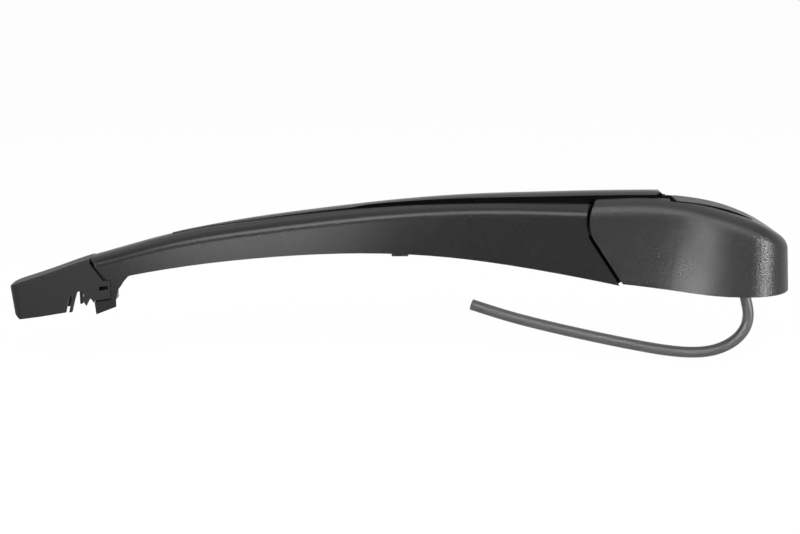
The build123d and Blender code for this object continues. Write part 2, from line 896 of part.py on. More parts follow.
# Nut cap: curved lid with its hinge barrel and a snap tab
with BuildPart() as nut_cap:
    add(cap_plan(0))
    extrude(above_line(cap_top, cap_thickness), amount=form_span, both=True, mode=Mode.INTERSECT)
    extrude(under_line(cap_top, 0), amount=form_span, both=True, mode=Mode.INTERSECT)
    crown = nut_cap.faces().sort_by(Axis.Z)[-1]
    fillet(crown.edges(), cap_edge)
    with BuildSketch(Plane.XZ):
        with Locations((cap_axis_x, cap_axis_z)):
            Circle(cap_barrel_radius)
    extrude(amount=cap_barrel_half, both=True)
    with BuildSketch(Plane.XZ):
        with Locations((well_right - snap_inset, snap_low)):
            Rectangle(snap_thickness, snap_length, align=(Align.MAX, Align.MIN))
    extrude(amount=snap_half, both=True)
    with BuildSketch(Plane.XZ):
        with Locations((cap_axis_x, cap_axis_z)):
            Circle(cap_pin_radius + running_gap)
    extrude(amount=form_span, both=True, mode=Mode.SUBTRACT)
nut_cap.part.label = "nut_cap"
export_step(nut_cap.part, "parts/nut_cap.step")

# Pins: cap hinge, two stub pivots of the arm, spring pin in the head, anchor pin in the arm
with BuildPart() as cap_pin:
    add(cross_pin(cap_axis_x, cap_axis_z, cap_pin_radius, -cap_ear_outer, 2 * cap_ear_outer))
cap_pin.part.label = "cap_pin"
export_step(cap_pin.part, "parts/cap_pin.step")

with BuildPart() as pivot_pin_far:
    add(cross_pin(hinge_x, hinge_z, pivot_radius, lug_inner + seat_gap, pivot_depth - lug_inner - seat_gap))
pivot_pin_far.part.label = "pivot_pin_far"
export_step(pivot_pin_far.part, "parts/pivot_pin_far.step")

with BuildPart() as pivot_pin_near:
    add(cross_pin(hinge_x, hinge_z, pivot_radius, -pivot_depth, pivot_depth - lug_inner - seat_gap))
pivot_pin_near.part.label = "pivot_pin_near"
export_step(pivot_pin_near.part, "parts/pivot_pin_near.step")

with BuildPart() as spring_pin:
    add(cross_pin(hinge_x, spring_z, spring_pin_radius, -spring_pin_depth, 2 * spring_pin_depth))
spring_pin.part.label = "spring_pin"
export_step(spring_pin.part, "parts/spring_pin.step")

with BuildPart() as anchor_pin:
    add(cross_pin(anchor_x, spring_z, spring_pin_radius, -anchor_pin_half, 2 * anchor_pin_half))
anchor_pin.part.label = "anchor_pin"
export_step(anchor_pin.part, "parts/anchor_pin.step")

# Bushes pressed in the lugs
with BuildPart() as pivot_bush_far:
    with BuildSketch(Plane.XZ.offset(-lug_inner)):
        with Locations((hinge_x, hinge_z)):
            Circle(pivot_radius + pivot_bush_wall + running_gap)
            Circle(pivot_radius + running_gap, mode=Mode.SUBTRACT)
    extrude(amount=lug_inner - lug_outer)
pivot_bush_far.part.label = "pivot_bush_far"
export_step(pivot_bush_far.part, "parts/pivot_bush_far.step")

with BuildPart() as pivot_bush_near:
    with BuildSketch(Plane.XZ.offset(lug_inner)):
        with Locations((hinge_x, hinge_z)):
            Circle(pivot_radius + pivot_bush_wall + running_gap)
            Circle(pivot_radius + running_gap, mode=Mode.SUBTRACT)
    extrude(amount=lug_outer - lug_inner)
pivot_bush_near.part.label = "pivot_bush_near"
export_step(pivot_bush_near.part, "parts/pivot_bush_near.step")

# Spring hook: flat link from the spring pin to the spring's end loop
link_x = hinge_x - hook_reach
with BuildPart() as spring_hook:
    with BuildSketch(Plane.XZ):
        with Locations((hinge_x, spring_z)):
            Circle(hook_eye)
        with Locations((link_x, spring_z)):
            Circle(hook_end)
        make_hull()
        with Locations((hinge_x, spring_z)):
            Circle(spring_pin_radius + running_gap, mode=Mode.SUBTRACT)
        with Locations((link_x, spring_z)):
            Circle(hook_hole, mode=Mode.SUBTRACT)
    extrude(amount=hook_thickness / 2, both=True)
spring_hook.part.label = "spring_hook"
export_step(spring_hook.part, "parts/spring_hook.step")

# Tension spring: ridged coil, open round the rod, tapered to a loop in the hook
loop_wire = spring_wire / 2
hook_loop = hook_end + loop_wire
hook_loop_x = link_x - hook_loop
coil_left = anchor_x + rod_lead
coil_right = hook_loop_x - hook_loop - coil_taper
coil_pitch = (coil_right - coil_left) / spring_turns
coil_profile = [(coil_left, spring_radius - spring_wire)]
for turn in range(spring_turns):
    coil_profile.append((coil_left + turn * coil_pitch, spring_radius - loop_wire / 2))
    coil_profile.append((coil_left + (turn + 0.5) * coil_pitch, spring_radius))
coil_profile += [
    (coil_right, spring_radius - loop_wire / 2),
    (coil_right + coil_taper, 0.7 * loop_wire),
    (coil_right + coil_taper, 0),
    (coil_right + coil_taper - spring_wire, 0),
    (coil_right, spring_radius - spring_wire),
]
with BuildPart() as spring_blank:
    with BuildSketch(Plane.XZ):
        with BuildLine():
            Polyline(*coil_profile, close=True)
        make_face()
    revolve(axis=Axis.X)
    with Locations((hook_loop_x, 0, 0)):
        Torus(hook_loop, loop_wire)

with BuildPart() as tension_spring:
    with Locations((0, 0, spring_z)):
        add(spring_blank.part)
tension_spring.part.label = "tension_spring"
export_step(tension_spring.part, "parts/tension_spring.step")

# Spring rod: loop on the anchor pin and a straight draw rod that slides in the coil
rod_loop = spring_pin_radius + running_gap + loop_wire
with BuildPart() as spring_rod:
    with Locations((anchor_x, 0, spring_z)):
        Torus(rod_loop, loop_wire, rotation=(90, 0, 0))
    with BuildSketch(Plane.YZ.offset(anchor_x + rod_loop)):
        with Locations((0, spring_z)):
            Circle(rod_radius)
    extrude(amount=coil_left + rod_reach - anchor_x - rod_loop)
spring_rod.part.label = "spring_rod"
export_step(spring_rod.part, "parts/spring_rod.step")

# Washer jet holder across the channel, with a post up to the hose spigot
with BuildPart() as washer_nozzle:
    with BuildSketch(Plane.XZ):
        with Locations((nozzle_x, nozzle_low)):
            Rectangle(2 * nozzle_half_length, nozzle_high - nozzle_low, align=(Align.CENTER, Align.MIN))
    extrude(amount=form_span, both=True)
    with BuildSketch(Plane.XY.offset(nozzle_low + 1)):
        with Locations((nozzle_x, 0)):
            Rectangle(2 * nozzle_post, 2 * nozzle_post)
    extrude(amount=hinge_z + nozzle_post - nozzle_low - 1)
    add(channel_liner, mode=Mode.INTERSECT)
    with BuildSketch(Plane.YZ.offset(nozzle_x)):
        with Locations((0, hinge_z)):
            Circle(spigot_radius)
    extrude(amount=nozzle_post + spigot_length)
    with Locations((nozzle_x, 0, nozzle_low)):
        Cylinder(
            jet_radius + running_gap,
            jet_recess,
            align=(Align.CENTER, Align.CENTER, Align.MIN),
            mode=Mode.SUBTRACT,
        )
washer_nozzle.part.label = "washer_nozzle"
export_step(washer_nozzle.part, "parts/washer_nozzle.step")

# Jet insert in the holder's lower face
with BuildPart() as nozzle_jet:
    with Locations((nozzle_x, 0, nozzle_low + jet_recess)):
        Cylinder(jet_radius, jet_recess - jet_sunk, align=(Align.CENTER, Align.CENTER, Align.MAX))
    with Locations((nozzle_x, 0, nozzle_low)):
        Cylinder(jet_hole, form_span, mode=Mode.SUBTRACT)
nozzle_jet.part.label = "nozzle_jet"
export_step(nozzle_jet.part, "parts/nozzle_jet.step")


def hose_clip(x):
    """Open ring that hangs the hose from the arm's web."""
    with BuildPart() as holder:
        with BuildSketch(Plane.YZ.offset(x - hose_clip_length / 2)):
            with Locations((0, hinge_z)):
                Circle(hose_radius + hose_clip_wall)
            with Locations((0, hinge_z)):
                Rectangle(2 * hose_radius, form_span, align=(Align.CENTER, Align.MIN))
            with Locations((0, hinge_z)):
                Circle(hose_radius + seat_gap, mode=Mode.SUBTRACT)
            with Locations((0, hinge_z)):
                Rectangle(hose_clip_mouth, form_span, align=(Align.CENTER, Align.MAX), mode=Mode.SUBTRACT)
        extrude(amount=hose_clip_length)
        add(channel_liner, mode=Mode.INTERSECT)
    return holder.part


with BuildPart() as hose_clip_front:
    add(hose_clip(clip_stations[0]))
hose_clip_front.part.label = "hose_clip_front"
export_step(hose_clip_front.part, "parts/hose_clip_front.step")

with BuildPart() as hose_clip_rear:
    add(hose_clip(clip_stations[1]))
hose_clip_rear.part.label = "hose_clip_rear"
export_step(hose_clip_rear.part, "parts/hose_clip_rear.step")

# Washer hose: straight along the arm, bent on the hinge axis, led round the boss to the rim
hose_start_x = nozzle_x + nozzle_post + seat_gap
fall_x = hose_bend_run * cos(radians(hose_fall))
fall_z = hose_bend_run * sin(radians(hose_fall))
with BuildPart() as washer_hose_arm:
    with BuildSketch(Plane.YZ.offset(hose_start_x)):
        with Locations((0, hinge_z)):
            Circle(hose_radius)
            Circle(hose_bore, mode=Mode.SUBTRACT)
    extrude(amount=hinge_x - hose_bend_run - hose_start_x)
washer_hose_arm.part.label = "washer_hose_arm"
export_step(washer_hose_arm.part, "parts/washer_hose_arm.step")

bend_route = [
    (hinge_x - hose_bend_run, 0, hinge_z),
    (hinge_x, 0, hinge_z),
    (hinge_x + fall_x, 0, hinge_z - fall_z),
]
with BuildPart() as washer_hose_hinge:
    bend_tube, bend_radii, bend_length = hose_tube(bend_route, hose_radius, hose_bore)
    add(bend_tube)
washer_hose_hinge.part.label = "washer_hose_hinge"
export_step(washer_hose_hinge.part, "parts/washer_hose_hinge.step")

lean_x = sin(radians(exit_lean))
lean_z = cos(radians(exit_lean))
hose_turn = (exit_x - exit_run * lean_x, hose_y, rim_level + exit_run * lean_z)
head_route = [bend_route[-1]] + hose_inside + [hose_turn, (exit_x, hose_y, rim_level)]
with BuildPart() as washer_hose_head:
    head_tube, head_radii, head_length = hose_tube(head_route, hose_radius, hose_bore)
    add(head_tube)
washer_hose_head.part.label = "washer_hose_head"
export_step(washer_hose_head.part, "parts/washer_hose_head.step")

tail_first = (exit_x + tail_run * lean_x, hose_y, rim_level - tail_run * lean_z)
tail_route = [(exit_x, hose_y, rim_level), tail_first] + [(x, hose_y, z) for x, z in hose_tail_line]
with BuildPart() as washer_hose_tail:
    tail_tube, tail_radii, tail_length = hose_tube(tail_route, hose_radius, hose_bore)
    add(tail_tube)
washer_hose_tail.part.label = "washer_hose_tail"
export_step(washer_hose_tail.part, "parts/washer_hose_tail.step")

print("hinge bend radii", [round(radius, 1) for radius in bend_radii], "length", round(bend_length, 1))
print("head hose radii", [round(radius, 1) for radius in head_radii], "length", round(head_length, 1))
print("tail radii", [round(radius, 1) for radius in tail_radii], "length", round(tail_length, 1))
print("tail volume", round(washer_hose_tail.part.volume, 1))
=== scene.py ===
from math import atan2, pi, radians, sin

import bmesh
import bpy
from bpy.props import FloatProperty, FloatVectorProperty, IntProperty, PointerProperty
from mathutils import Matrix, Vector


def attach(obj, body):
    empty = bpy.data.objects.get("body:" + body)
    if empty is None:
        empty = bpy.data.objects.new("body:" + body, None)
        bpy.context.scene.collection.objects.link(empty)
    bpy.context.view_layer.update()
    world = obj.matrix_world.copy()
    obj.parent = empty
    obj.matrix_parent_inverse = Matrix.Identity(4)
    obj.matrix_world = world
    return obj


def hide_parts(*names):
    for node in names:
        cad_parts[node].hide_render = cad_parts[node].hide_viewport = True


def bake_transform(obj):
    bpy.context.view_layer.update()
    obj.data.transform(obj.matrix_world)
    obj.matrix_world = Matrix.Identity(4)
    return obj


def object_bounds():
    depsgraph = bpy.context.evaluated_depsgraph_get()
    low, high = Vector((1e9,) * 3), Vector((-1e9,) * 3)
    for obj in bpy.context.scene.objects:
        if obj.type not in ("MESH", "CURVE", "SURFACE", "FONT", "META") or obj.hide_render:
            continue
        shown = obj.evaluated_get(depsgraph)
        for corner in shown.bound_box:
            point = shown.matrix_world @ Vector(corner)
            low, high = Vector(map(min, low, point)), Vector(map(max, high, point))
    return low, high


bl_info = {
    "name": "Wiper arm",
    "version": (1, 0, 0),
    "blender": (4, 5, 0),
    "location": "View3D > Sidebar > Wiper arm",
    "description": "Finishes, spring, washer hose and studio for the sprung wiper arm",
    "category": "Object",
}

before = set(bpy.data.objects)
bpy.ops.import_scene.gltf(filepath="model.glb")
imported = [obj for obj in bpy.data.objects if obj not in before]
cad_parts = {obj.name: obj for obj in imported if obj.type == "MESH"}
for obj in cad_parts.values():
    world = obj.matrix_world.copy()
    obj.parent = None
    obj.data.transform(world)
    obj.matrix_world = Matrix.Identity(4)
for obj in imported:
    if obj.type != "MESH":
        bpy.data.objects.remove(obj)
cad_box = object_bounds()

# Free run of the washer hose: places along X and Z in the plane where it leaves the head, in metres
HOSE_PLANE = 0.012
TAIL_LINE = [
    (0.0152, -0.0120),
    (0.0179012, -0.0214204),
    (0.0195, -0.0284),
    (0.0184, -0.0347),
    (0.0142, -0.0403),
    (0.0068, -0.0445),
    (-0.0027, -0.0462),
    (-0.0163, -0.0453),
    (-0.0347, -0.0419),
    (-0.0566, -0.0372),
    (-0.0766, -0.0324),
    (-0.0921, -0.0282),
    (-0.1059, -0.0235),
]

# How far the disc of painted shade in the hose's mouth stands off its cut end
MOUTH_PROUD = 0.00004

# Bend of the hose on the hinge axis: both ends, where its arc starts, the arc's radius and angle,
# and how much flatter the hose is in the middle of the arc
BEND_START = Vector((-0.0515, 0.0, 0.0188))
BEND_END = Vector((-0.034429, 0.0, 0.011729))
BEND_ARC = Vector((-0.0460, 0.0, 0.0188))
BEND_RADIUS = 0.010864
BEND_ANGLE = pi / 4
BEND_PRESS = 0.26

# Sides of the hose, rings in each straight part of its bend and rings in the arc
HOSE_SIDES = 24
STRAIGHT_RINGS = 6
ARC_RINGS = 12

# Wound spring: both ends of its turns, the height of their axis, the radius of the wire's centre line,
# and the loop in the hook
COIL_LEFT = -0.1184
COIL_RIGHT = -0.0877
COIL_AXIS = 0.0085
COIL_RADIUS = 0.0037
LOOP_CENTRE = Vector((-0.0811, 0.0, COIL_AXIS))
LOOP_RADIUS = 0.0036

# End turn of the spring: its run along the axis and the share of the radius that it closes by
END_RUN = 0.0028
END_CLOSE = 0.8

# Sides of the spring's wire, and its steps in one turn and in the loop
WIRE_SIDES = 10
TURN_STEPS = 20
LOOP_STEPS = 32

# Colour of what lies in the shade
SHADE_BLACK = (0.0015, 0.0015, 0.0015, 1.0)

# Share of a face's normal across the arm from which it counts as a side wall
SIDEWAYS = 0.7

# Shade in the parting gap: right end, half-width and top of the head's lips, right end of its cheeks,
# and the share of a cheek end's normal, at least towards the arm and at most sideways
LIP_RIGHT = -0.0405
LIP_HALF = 0.0085
LIP_TOP = 0.021
CHEEK_RIGHT = -0.038
CHEEK_LEAN = 0.35

# Shade in the arm's channel: its left end, and the product of a face's normal and place across the arm
# below which the face looks inwards
CHANNEL_LEFT = -0.08
CHANNEL_INWARD = -0.002

# Painted shade at the foot of the strip's side walls: the foot is a parabola from one place along the
# arm, in height, slope and sag, and the painted shade reaches higher up the walls towards the head
# from its start, at this slope
FOOT_PLACE = -0.107
FOOT_HEIGHT = 0.0274
FOOT_SLOPE = 0.0398
FOOT_SAG = 0.611
SHADE_RISE_START = -0.16
SHADE_RISE_SLOPE = 0.1

# Lamps: name, place, aim, width and height, watts, and the spread of the beam in degrees
LAMPS = (
    ("top_box", (-0.15, 0.1, 0.9), (-0.15, 0.0, 0.0), (1.6, 1.0), 5.0, 180.0),
    ("front_box", (-0.1, -0.75, 0.6), (-0.1, 0.0, 0.0), (1.2, 0.5), 13.0, 180.0),
    ("low_box", (-0.25, -0.31, -0.01), (-0.23, 0.0, -0.005), (0.17, 0.075), 0.43, 180.0),
    ("shoulder_box", (-0.25, -0.31, 0.21), (-0.23, 0.0, 0.01), (0.17, 0.1), 0.25, 180.0),
    ("left_box", (-0.68, -1.0, 0.08), (-0.016, 0.0, 0.006), (0.18, 0.2), 0.17, 12.0),
    ("right_box", (0.8, -0.67, 0.05), (0.02, 0.0, 0.0), (0.16, 0.5), 0.5, 14.0),
)

# Studio: half-width of the floor, its share of plain white in view, and how strongly the white
# surroundings light the object
FLOOR_HALF = 6.0
FLOOR_WHITE = 0.97
WORLD_LIGHT = 0.2

# Camera: place, turn from looking straight down, lens and sensor width in millimetres
CAMERA_PLACE = (-0.13816, -0.62360, 0.140575)
CAMERA_TURN = radians(77.0)
CAMERA_LENS = 65.45
CAMERA_SENSOR = 36.0


class Finish(bpy.types.PropertyGroup):
    """Colours and gloss of the wiper arm's materials."""

    arm_colour: FloatVectorProperty(
        name="Arm colour", description="Smooth black of the arm", subtype="COLOR",
        size=3, min=0, max=1, default=(0.003, 0.003, 0.0032))
    arm_roughness: FloatProperty(
        name="Arm roughness", description="Gloss of the smooth arm, 0 is a mirror",
        subtype="FACTOR", min=0, max=1, default=0.27)
    head_colour: FloatVectorProperty(
        name="Head colour", description="Grained black of the head and its cap", subtype="COLOR",
        size=3, min=0, max=1, default=(0.005, 0.005, 0.0053))
    head_roughness: FloatProperty(
        name="Head roughness", description="Gloss of the grained head, 0 is a mirror",
        subtype="FACTOR", min=0, max=1, default=0.34)
    clip_colour: FloatVectorProperty(
        name="Clip colour", description="Matte black of the blade clip", subtype="COLOR",
        size=3, min=0, max=1, default=(0.007, 0.007, 0.0074))
    hose_colour: FloatVectorProperty(
        name="Hose colour", description="Black rubber of the washer hose", subtype="COLOR",
        size=3, min=0, max=1, default=(0.020, 0.020, 0.021))
    steel_colour: FloatVectorProperty(
        name="Steel colour", description="Plated steel of the pins, hook and spring", subtype="COLOR",
        size=3, min=0, max=1, default=(0.55, 0.55, 0.56))


class Sizes(bpy.types.PropertyGroup):
    """Sizes of the pieces that are modelled here."""

    hose_radius: FloatProperty(
        name="Hose radius", description="Outside radius of the washer hose",
        unit="LENGTH", min=0.001, max=0.01, default=0.0025)
    hose_bore: FloatProperty(
        name="Hose bore", description="Inside radius of the washer hose",
        unit="LENGTH", min=0.0005, max=0.005, default=0.0013)
    spring_turns: IntProperty(
        name="Spring turns", description="Turns of wire in the tension spring",
        min=5, max=60, default=20)
    spring_wire: FloatProperty(
        name="Spring wire", description="Radius of the spring's wire",
        unit="LENGTH", min=0.0002, max=0.002, default=0.00072)
    floor_drop: FloatProperty(
        name="Floor drop", description="Gap between the lowest point and the floor",
        unit="LENGTH", min=0, max=0.1, default=0.002)


class Signal:
    """One output of a shader node. Sums, products and comparisons of signals add Math nodes."""

    def __init__(self, shader, socket):
        self.shader = shader
        self.socket = socket

    def join(self, operation, first, second):
        """Adds a Math node."""
        return self.shader.node("ShaderNodeMath", {"operation": operation}, {0: first, 1: second})

    def __add__(self, other):
        return self.join("ADD", self, other)

    __radd__ = __add__

    def __mul__(self, other):
        return self.join("MULTIPLY", self, other)

    __rmul__ = __mul__

    def __sub__(self, other):
        return self.join("SUBTRACT", self, other)

    def __rsub__(self, other):
        return self.join("SUBTRACT", other, self)

    def __gt__(self, other):
        return self.join("GREATER_THAN", self, other)

    def __lt__(self, other):
        return self.join("LESS_THAN", self, other)

    def __abs__(self):
        return self.join("MAXIMUM", self, 0.0 - self)

    def __or__(self, other):
        return self.join("MAXIMUM", self, other)

    __ror__ = __or__

    def about(self, middle, swing):
        """Turns a value from 0 to 1 into one that varies about a middle."""
        return self * swing + (middle - swing / 2)


class Shader:
    """Nodes of a material or a world, written as calls and expressions."""

    def __init__(self, owner):
        owner.use_nodes = True
        self.owner = owner
        self.tree = owner.node_tree
        self.tree.nodes.clear()

    @classmethod
    def named(cls, name):
        """Shader of a new material."""
        return cls(bpy.data.materials.new(name))

    def node(self, kind, settings=None, inputs=None, output=0):
        """Adds a node: settings first, then the values or links of its sockets."""
        made = self.tree.nodes.new(kind)
        for key, value in (settings or {}).items():
            setattr(made, key, value)
        for key, value in (inputs or {}).items():
            if isinstance(value, Signal):
                self.tree.links.new(value.socket, made.inputs[key])
            else:
                made.inputs[key].default_value = value
        return Signal(self, made.outputs[output]) if len(made.outputs) else None

    def along(self, kind, axis):
        """One axis of the piece's Object coordinates or of its Normal."""
        whole = self.node("ShaderNodeTexCoord", output=kind)
        return self.node("ShaderNodeSeparateXYZ", None, {0: whole}, axis)

    def noise(self, scale, detail=2.0):
        """Cloudy value from 0 to 1 at a scale in features per metre."""
        place = self.node("ShaderNodeTexCoord", output="Object")
        return self.node(
            "ShaderNodeTexNoise",
            {"noise_dimensions": "3D"},
            {"Vector": place, "Scale": scale, "Detail": detail, "Roughness": 0.5},
        )

    def bump(self, height, strength, distance):
        """Normal of a surface with that height."""
        return self.node(
            "ShaderNodeBump", None, {"Height": height, "Strength": strength, "Distance": distance})

    def surface(self, shader_socket):
        """Ends the material."""
        self.node("ShaderNodeOutputMaterial", None, {"Surface": shader_socket})
        return self.owner

    def plastic(self, colour, roughness, normal=None, specular=0.5, metallic=0.0, shade=None):
        """Principled surface from constant or varying inputs, with painted shade of dark matte black
        where shade is 1.
        """
        inputs = {
            "Base Color": (*colour, 1.0),
            "Roughness": roughness,
            "Specular IOR Level": specular,
            "Metallic": metallic,
        }
        if normal is not None:
            inputs["Normal"] = normal
        look = self.node("ShaderNodeBsdfPrincipled", None, inputs)
        if shade is not None:
            # Painted shade: a dark matte black mixed in where the shade mask is 1
            painted_shade = self.node("ShaderNodeBsdfDiffuse", None, {"Color": SHADE_BLACK})
            look = self.node("ShaderNodeMixShader", None, {0: shade, 1: look, 2: painted_shade})
        return self.surface(look)


def satin_black(finish, name, shade):
    """Smooth moulded black of the arm and its strip, dark where shade says so."""
    shader = Shader.named(name)
    roughness = shader.noise(60.0).about(finish.arm_roughness, swing=0.06)
    normal = shader.bump(shader.noise(1300.0), strength=0.2, distance=0.0001)
    return shader.plastic(finish.arm_colour, roughness, normal, specular=0.22, shade=shade(shader))


def grained_black(finish, name, shade, specular):
    """Fine-grained black of the head and its cap, dark where shade says so."""
    shader = Shader.named(name)
    grain = shader.noise(1500.0)
    roughness = grain.about(finish.head_roughness, swing=0.16)
    normal = shader.bump(grain, strength=0.65, distance=0.00025)
    return shader.plastic(finish.head_colour, roughness, normal, specular, shade=shade(shader))


def inside_parting(shader):
    """Lips and end faces of the head that lie in the shade of the parting gap."""
    place = shader.along("Object", "X")
    between = abs(shader.along("Object", "Y")) < LIP_HALF
    lip = (place < LIP_RIGHT) * between * (shader.along("Object", "Z") < LIP_TOP)
    across = abs(shader.along("Normal", "Y")) < CHEEK_LEAN
    end_face = across * (shader.along("Normal", "X") < -CHEEK_LEAN)
    return lip | end_face * (place < CHEEK_RIGHT)


def inside_channel(shader):
    """Inner faces of the arm near the hinge, which lie in the shade of its channel."""
    inward = shader.along("Normal", "Y") * shader.along("Object", "Y") < CHANNEL_INWARD
    return inward * (shader.along("Object", "X") > CHANNEL_LEFT)


def side_walls(shader):
    """Faces that look sideways, such as those of the cap in its recess, where shade is painted."""
    return abs(shader.along("Normal", "Y")) > SIDEWAYS


def strip_sides(shader):
    """Painted shade at the foot of the strip's side walls in its groove: a thin dark line that widens
    to the head.
    """
    place = shader.along("Object", "X")
    past = place - FOOT_PLACE
    foot = past * FOOT_SLOPE - past * past * FOOT_SAG + FOOT_HEIGHT
    # The painted shade reaches higher up the side walls towards the head from its start
    shade_rise = ((place - SHADE_RISE_START) | 0.0) * SHADE_RISE_SLOPE
    return side_walls(shader) * (shader.along("Object", "Z") < foot + shade_rise)


def matte_black(finish):
    """Matte black of the blade clip and the small mouldings."""
    shader = Shader.named("matte_black")
    normal = shader.bump(shader.noise(1800.0), strength=0.15, distance=0.00008)
    return shader.plastic(finish.clip_colour, roughness=0.5, normal=normal, specular=0.2)


def hose_rubber(finish):
    """Dull black rubber of the hose."""
    shader = Shader.named("hose_rubber")
    dust = shader.noise(400.0, detail=3.0)
    return shader.plastic(finish.hose_colour, dust.about(0.46, swing=0.12))


def painted_bore_shade():
    """Painted shade: dark black for the shaded bore at the hose's end."""
    shader = Shader.named("painted_bore_shade")
    return shader.plastic(colour=(0.004, 0.004, 0.004), roughness=0.9, specular=0.1)


def plated_steel(finish):
    """Plated steel of the pins, the hook and the spring."""
    shader = Shader.named("plated_steel")
    scuff = shader.noise(700.0, detail=3.0)
    return shader.plastic(finish.steel_colour, scuff.about(0.325, swing=0.15), metallic=1.0)


def plain_metal(name, colour, roughness):
    """Bare metal in one colour."""
    return Shader.named(name).plastic(colour, roughness, metallic=1.0)


def paint(names, material):
    """Gives CAD nodes a material."""
    for name in names:
        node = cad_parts[name]
        node.data.materials.clear()
        node.data.materials.append(material)


def piece_from(bm, name, material, smooth=True):
    """Makes an object at the origin from a bmesh."""
    bmesh.ops.remove_doubles(bm, verts=bm.verts, dist=1e-7)
    bmesh.ops.recalc_face_normals(bm, faces=bm.faces)
    mesh = bpy.data.meshes.new(name)
    bm.to_mesh(mesh)
    bm.free()
    mesh.materials.append(material)
    for polygon in mesh.polygons:
        polygon.use_smooth = smooth
    made = bpy.data.objects.new(name, mesh)
    bpy.context.scene.collection.objects.link(made)
    return made


def verts_of(geom):
    """Vertices in what a bmesh operator made."""
    return [item for item in geom if isinstance(item, bmesh.types.BMVert)]


def edges_of(geom):
    """Edges in what a bmesh operator made."""
    return [item for item in geom if isinstance(item, bmesh.types.BMEdge)]


def edges_among(verts):
    """Edges whose both ends are in a set of vertices."""
    chosen = set(verts)
    edges = {edge for vert in verts for edge in vert.link_edges}
    return [edge for edge in edges if edge.verts[0] in chosen and edge.verts[1] in chosen]


def middle_of(verts):
    """Mean place of some vertices."""
    return sum((vert.co for vert in verts), Vector()) / len(verts)


def ring(bm, radius, place, turn, axis, sides):
    """Circle of wire or hose at a place, turned about an axis. Returns its vertices and edges."""
    matrix = Matrix.Translation(place) @ Matrix.Rotation(turn, 4, axis)
    verts = bmesh.ops.create_circle(bm, segments=sides, radius=radius, matrix=matrix)["verts"]
    return verts + list({edge for vert in verts for edge in vert.link_edges})


def draw_on(bm, geom, step, count):
    """Extrudes a ring count times by a step. Returns the last ring."""
    for _ in range(count):
        verts = verts_of(bmesh.ops.extrude_edge_only(bm, edges=edges_of(geom))["geom"])
        geom = verts + edges_among(verts)
        bmesh.ops.translate(bm, verts=verts, vec=step)
    return geom


def close_ring(bm, geom):
    """Fills a ring with a flat end."""
    bmesh.ops.contextual_create(bm, geom=edges_of(geom))


class WIPER_OT_finish_mouldings(bpy.types.Operator):
    """Paint the moulded pieces"""

    bl_idname = "wiper.finish_mouldings"
    bl_label = "Finish mouldings"

    def execute(self, context):
        finish = context.scene.wiper_finish
        # Painted shade on the arm's inner faces near the hinge
        paint(["lift_arm"], satin_black(finish, "satin_black", inside_channel))
        # Painted shade at the foot of the strip's side walls
        paint(["cover_strip"], satin_black(finish, "strip_black", strip_sides))
        # Painted shade in the parting gap, on the head's lips and cheek ends
        paint(["arm_head"], grained_black(finish, "grained_black", inside_parting, specular=0.25))
        # Painted shade on the cap's side walls in its recess
        paint(["nut_cap"], grained_black(finish, "cap_black", side_walls, specular=0.08))
        small = ["blade_clip", "washer_nozzle", "hose_clip_front", "hose_clip_rear"]
        paint(small, matte_black(finish))
        return {"FINISHED"}


class WIPER_OT_finish_metal(bpy.types.Operator):
    """Paint the pins, bushes, hook and jet"""

    bl_idname = "wiper.finish_metal"
    bl_label = "Finish metal"

    def execute(self, context):
        finish = context.scene.wiper_finish
        steel = ["pivot_pin_near", "pivot_pin_far", "spring_pin", "anchor_pin", "cap_pin"]
        paint(steel + ["spring_hook", "spring_rod", "tension_spring"], plated_steel(finish))
        alloy = plain_metal("turned_alloy", colour=(0.62, 0.62, 0.63), roughness=0.35)
        paint(["spindle_bush"], alloy)
        bronze = plain_metal("plain_bronze", colour=(0.5, 0.36, 0.17), roughness=0.4)
        paint(["pivot_bush_near", "pivot_bush_far", "nozzle_jet"], bronze)
        return {"FINISHED"}


class WIPER_OT_wind_spring(bpy.types.Operator):
    """Wind the tension spring from one wire, with its loop in the hook"""

    bl_idname = "wiper.wind_spring"
    bl_label = "Wind spring"

    def execute(self, context):
        sizes = context.scene.wiper_sizes
        bm = bmesh.new()
        draw_in(bm, wind_coil(bm, sizes.spring_wire, sizes.spring_turns))
        hang_loop(bm, sizes.spring_wire)
        spring = piece_from(bm, "wound_spring", plated_steel(context.scene.wiper_finish))
        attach(spring, "spring_link")
        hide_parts("tension_spring")
        return {"FINISHED"}


def wind_coil(bm, wire, turns):
    """Turns of the spring, closed at the left. Returns the vertices of the last ring."""
    first = ring(bm, wire, (COIL_LEFT + wire, 0, COIL_AXIS + COIL_RADIUS), pi / 2, "X", WIRE_SIDES)
    close_ring(bm, first)
    steps = TURN_STEPS * turns
    run = COIL_RIGHT - COIL_LEFT - 2 * wire
    last = bmesh.ops.spin(
        bm, geom=first, cent=(0, 0, COIL_AXIS), axis=(1, 0, 0), dvec=(run / steps, 0, 0),
        angle=2 * pi * turns, steps=steps, use_merge=False, use_duplicate=False)["geom_last"]
    return verts_of(last)


def draw_in(bm, verts):
    """One more turn of the spring that closes towards its axis, with a flat end."""
    turn = Matrix.Rotation(2 * pi / TURN_STEPS, 3, "X")
    forward = Vector((END_RUN / TURN_STEPS, 0, 0))
    for _ in range(TURN_STEPS):
        verts = verts_of(bmesh.ops.extrude_edge_only(bm, edges=edges_among(verts))["geom"])
        bmesh.ops.rotate(bm, verts=verts, cent=(0, 0, COIL_AXIS), matrix=turn)
        middle = middle_of(verts)
        inward = Vector((0, -middle.y, COIL_AXIS - middle.z)).normalized()
        inward *= COIL_RADIUS * END_CLOSE / TURN_STEPS
        bmesh.ops.translate(bm, verts=verts, vec=inward + forward)
    close_ring(bm, edges_among(verts))


